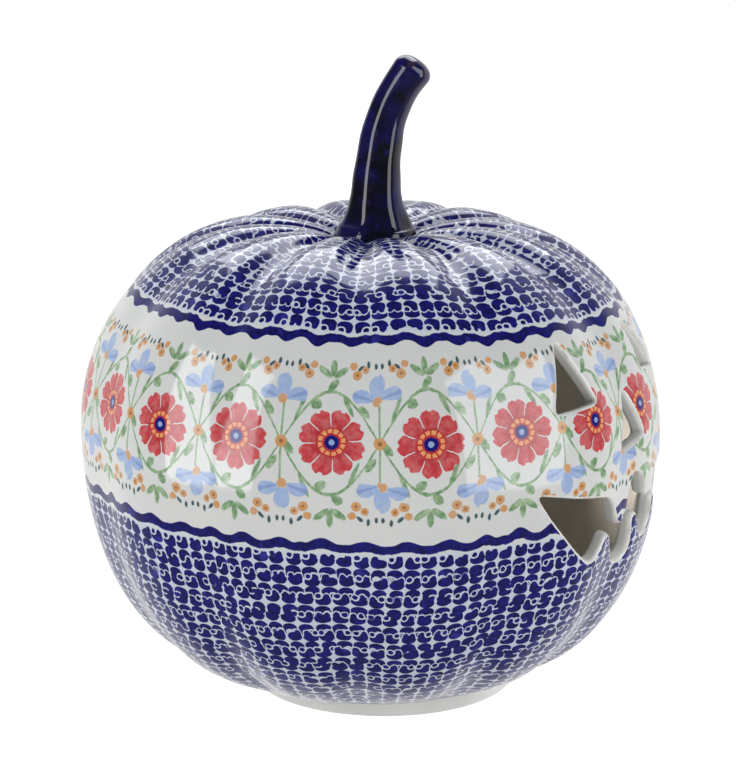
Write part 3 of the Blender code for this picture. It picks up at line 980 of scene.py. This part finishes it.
def build_foot(glaze, clay):
    pts, ids = [], []

    def run(points, mid):
        for p in points:
            pts.append(p)
            ids.append(mid)
    run([(48.6, 0.0), (50.0, 0.0), (52.0, 0.0), (53.6, 0.0)], 1)
    run(arc(53.9, 1.5, 1.5, -80, -8, 6), 0)
    run([(55.8, 2.6), (56.3, 3.8), (56.9, 5.0), (57.6, 6.2)], 0)
    run(arc(57.3, 7.0, 0.7, -20, 90, 4), 0)
    run([(54.0, 7.7), (50.0, 7.7)], 0)
    run(arc(48.4, 6.9, 0.8, 90, 180, 4), 0)
    run([(47.3, 5.0), (47.1, 3.4), (47.1, 2.0)], 0)
    run(arc(48.2, 1.1, 1.1, 180, 262, 5), 0)

    def wave(a, r, z):
        if z < 0.05:
            return 0.0 * a
        return 0.14 * np.sin(2 * a + 0.6) + 0.08 * np.sin(5 * a + z * 0.5)
    return turned("foot_white", pts, 180, [glaze, clay], ids, wave, at=FOOT_AT)


def build_tealight(alu, wax_mat, tin, cot):
    # drawn cup: pressed floor, fine upright pleats, rolled lip
    pts = [(0.6, 0.45), (4.0, 0.45), (8.0, 0.40), (9.2, 0.05), (10.5, 0.0), (16.4, 0.0)]
    pts += arc(17.4, 1.4, 1.4, -80, -10, 5)
    pts += [(18.9, 3.0), (18.95, 5.5), (18.95, 8.0), (18.95, 10.5), (19.0, 13.0), (19.0, 14.6)]
    pts += arc(18.95, 15.3, 0.55, -50, 160, 8)
    pts += [(18.42, 14.4), (18.40, 12.0), (18.40, 8.0), (18.40, 4.0), (18.2, 1.9), (17.3, 0.9),
            (15.5, 0.65), (10.5, 0.65), (9.0, 0.70), (8.0, 0.85), (0.6, 0.85)]

    def pleat(a, r, z):
        band = max(0.0, min(1.0, (z - 2.2) / 2.0)) * max(0.0, min(1.0, (14.4 - z) / 1.5))
        return 0.07 * band * np.cos(48 * a) if r > 18.0 else 0.0 * a
    cup = turned("light_cup", pts, 192, [alu], None, pleat, closed=False)

    # poured wax with a raised meniscus at the cup and a dip round the wick
    pts = [(2.0, 2.0), (7.4, 2.0), (7.4, 1.2), (16.6, 1.2), (17.7, 1.9), (18.0, 3.0), (18.0, 7.0),
           (18.0, 12.3), (17.9, 12.7), (17.6, 12.55), (17.0, 12.2), (16.0, 11.95), (13.0, 11.75),
           (10.0, 11.62), (7.0, 11.5), (5.0, 11.35), (3.6, 11.2), (2.8, 11.25), (2.2, 11.5), (2.0, 11.4)]

    def sink(a, r, z):
        return 0.05 * np.sin(3 * a + r) if z > 11.0 and r < 17.0 else 0.0 * a
    body = turned("light_wax", pts, 120, [wax_mat], None, sink)

    # pressed tab with a crimped neck
    pts = [(1.2, 0.95), (6.0, 0.95), (6.4, 1.05), (6.4, 1.2), (6.0, 1.3), (2.4, 1.3), (1.9, 1.5),
           (1.68, 2.1), (1.66, 3.6), (1.55, 3.85), (1.32, 3.9), (1.22, 3.7), (1.2, 2.0)]

    def crimp(a, r, z):
        return 0.03 * np.cos(6 * a) if z > 2.0 and r > 1.4 else 0.0 * a
    tab = turned("light_tab", pts, 64, [tin], None, crimp)

    # braided wick: three strands wound round each other
    steps, strands, sides = 60, 3, 10
    co, faces = [], []
    for sidx in range(strands):
        base = len(co)
        for j in range(steps + 1):
            u = j / steps
            z = 1.4 + (20.9 - 1.4) * u
            lean = 0.7 * max(0.0, (z - 13.0) / 8.0) ** 2
            ang = 2 * math.pi * (sidx / strands + u * 7.0)
            rad = 0.36 * (1.0 if u < 0.94 else max(0.15, (1.0 - u) / 0.06))
            cx, cy = 0.42 * math.cos(ang) + lean, 0.42 * math.sin(ang)
            for i in range(sides):
                b = 2 * math.pi * i / sides
                co.append(((cx + rad * math.cos(b)) * MM, (cy + rad * math.sin(b)) * MM, z * MM))
        for j in range(steps):
            for i in range(sides):
                k = (i + 1) % sides
                faces.append((base + j * sides + i, base + j * sides + k,
                              base + (j + 1) * sides + k, base + (j + 1) * sides + i))
        faces.append(tuple(base + i for i in reversed(range(sides))))
        faces.append(tuple(base + steps * sides + i for i in range(sides)))
    wick = make_mesh("light_wick", co, faces, [cot], None, None, tidy=True)
    return cup, body, tab, wick


# ------------------------------------------------------------------ assemble
paint = painted_glaze()
# the cut edges take a brighter copy of the white glaze: painted light, standing in for light the cut walls do not get
# from the lamps
cut_white_painted_bright = white_glaze("glaze_cut_edge_painted_light", srgb(241, 241, 238), srgb(230, 230, 226), 0.12, True)
inner_white = white_glaze("glaze_inside", srgb(226, 221, 212), srgb(212, 206, 196), 0.16)
foot_white = white_glaze("glaze_white", srgb(226, 226, 223), srgb(214, 214, 211), 0.10)

body = build_shell([paint, cut_white_painted_bright, inner_white])
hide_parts("pumpkin_shell")
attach(body, "lantern")

stem = build_stem(cobalt_glaze())
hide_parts("stem")
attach(stem, "lantern")

foot = build_foot(foot_white, bare_clay())
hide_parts("foot_ring")
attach(foot, "lantern")

for piece, node, slot_name in zip(build_tealight(aluminium(), wax(), tinplate(), cotton()),
                                  ("tealight_cup", "tealight_wax", "wick_sustainer", "wick"),
                                  ("cup_aluminium", "wax", "tinplate", "cotton")):
    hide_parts(node)
    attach(piece, "tealight")


# ------------------------------------------------------------ floor and light
def build_floor():
    mat = bpy.data.materials.new("floor_white")
    g = Graph(mat)
    co = g.coords()
    n = g.noise(co, 3.0, 2.0, 0.5)
    g.set(Base_Color=g.mix(n, (0.39, 0.39, 0.39), (0.41, 0.41, 0.41)), Roughness=0.9)
    g.set(Specular_IOR_Level=0.0)
    g.set(Emission_Color=(1.0, 1.0, 1.0), Emission_Strength=0.94)
    mesh = bpy.data.meshes.new("floor")
    bm = bmesh.new()
    bmesh.ops.create_grid(bm, x_segments=4, y_segments=4, size=120.0)
    bm.to_mesh(mesh)
    bm.free()
    mesh.materials.append(mat)
    ob = bpy.data.objects.new("floor", mesh)
    ob.location = (0.0, 0.0, -0.0004)
    scene.collection.objects.link(ob)
    # the floor is only seen: the light comes from the boxes and the room
    ob.visible_diffuse = ob.visible_glossy = ob.visible_shadow = False


build_floor()

CAM_AZ = -61.0


def around(az_from_camera, dist, height):
    """A place seen from the object: angle from the camera's side, to its right."""
    a = math.radians(CAM_AZ + az_from_camera)
    return Vector((dist * math.sin(a), -dist * math.cos(a), height))


def softbox(name, place, aim, width, height, power, colour=(1.0, 1.0, 1.0)):
    light = bpy.data.lights.new(name, "AREA")
    light.shape = "RECTANGLE"
    light.size, light.size_y = width, height
    light.energy = power
    light.color = colour
    ob = bpy.data.objects.new(name, light)
    ob.location = place
    ob.rotation_euler = (Vector(aim) - place).to_track_quat("-Z", "Y").to_euler()
    scene.collection.objects.link(ob)
    return ob


COOL = (0.95, 0.98, 1.0)
softbox("left_box", around(-61.0, 1.7, 0.50), (0.0, 0.0, 0.12), 0.84, 1.8, 23.0, COOL)
softbox("right_box", around(57.0, 1.7, 0.50), (0.0, 0.0, 0.12), 1.2, 1.8, 23.0, COOL)
softbox("top_box", around(180.0, 0.95, 1.35), (0.0, 0.0, 0.18), 1.4, 1.0, 16.5, COOL)

# what the bright sweep sends in through the open foot
fill = bpy.data.lights.new("inside_fill", "SPOT")
fill.energy, fill.shadow_soft_size, fill.color = 0.50, 0.015, (1.0, 0.96, 0.90)
fill.spot_size, fill.spot_blend = math.radians(44.0), 0.9
fill_ob = bpy.data.objects.new("inside_fill", fill)
fill_ob.location = (0.008, 0.0, 0.095)
fill_ob.rotation_euler = (around(98.0, 0.112, 0.090) - fill_ob.location).to_track_quat("-Z", "Y").to_euler()
fill_ob.visible_camera = fill_ob.visible_glossy = False
scene.collection.objects.link(fill_ob)

# the room: dim on the camera's side, a white sweep behind and under the object
world = bpy.data.worlds.new("studio")
world.use_nodes = True
wt = world.node_tree
away = -around(0.0, 1.0, 0.0)


def w_node(kind, **props):
    n = wt.nodes.new(kind)
    for k, v in props.items():
        setattr(n, k, v)
    return n


def w_ramp(socket, lo, hi):
    n = w_node("ShaderNodeMapRange", interpolation_type="SMOOTHSTEP")
    wt.links.new(socket, n.inputs["Value"])
    n.inputs["From Min"].default_value, n.inputs["From Max"].default_value = lo, hi
    return n.outputs["Result"]


def w_math(op, *values):
    n = w_node("ShaderNodeMath", operation=op)
    for v, sock in zip(values, n.inputs):
        if isinstance(v, bpy.types.NodeSocket):
            wt.links.new(v, sock)
        else:
            sock.default_value = v
    return n.outputs[0]


gaze = w_node("ShaderNodeTexCoord").outputs["Generated"]
facing = w_node("ShaderNodeVectorMath", operation="DOT_PRODUCT")
wt.links.new(gaze, facing.inputs[0])
facing.inputs[1].default_value = away
split = w_node("ShaderNodeSeparateXYZ")
wt.links.new(gaze, split.inputs[0])
behind = w_ramp(facing.outputs["Value"], 0.10, 0.65)
under = w_ramp(split.outputs["Z"], 0.10, -0.45)
soft = w_math("ADD", 0.09, w_math("ADD", w_math("MULTIPLY", behind, 0.40), w_math("MULTIPLY", under, 0.56)))
sharp = w_math("ADD", 0.07, w_math("ADD", w_math("MULTIPLY", behind, 0.75), w_math("MULTIPLY", under, 0.12)))
glint = w_node("ShaderNodeLightPath").outputs["Is Glossy Ray"]
level = w_math("ADD", soft, w_math("MULTIPLY", glint, w_math("SUBTRACT", sharp, soft)))
wt.nodes["Background"].inputs["Color"].default_value = (1.0, 0.99, 0.97, 1.0)
wt.links.new(level, wt.nodes["Background"].inputs["Strength"])
scene.world = world
scene.view_settings.view_transform = "Standard"
scene.view_settings.look = "None"

# -------------------------------------------------------------------- camera
CAM_DIST, CAM_HEIGHT, CAM_PITCH, FOCAL_PX = 1.0464, 0.3752, 0.236, 2610.9
cam_data = bpy.data.cameras.new("camera")
cam_data.sensor_fit = "AUTO"
cam_data.sensor_width = 36.0
cam_data.lens = FOCAL_PX * 36.0 / 770.0
cam_data.clip_start, cam_data.clip_end = 0.05, 60.0
cam = bpy.data.objects.new("camera", cam_data)
cam.location = around(0.0, CAM_DIST, CAM_HEIGHT)
cam.rotation_euler = (math.pi / 2 - CAM_PITCH, 0.0, math.radians(CAM_AZ) + 4.0 / FOCAL_PX)
scene.collection.objects.link(cam)
scene.camera = cam
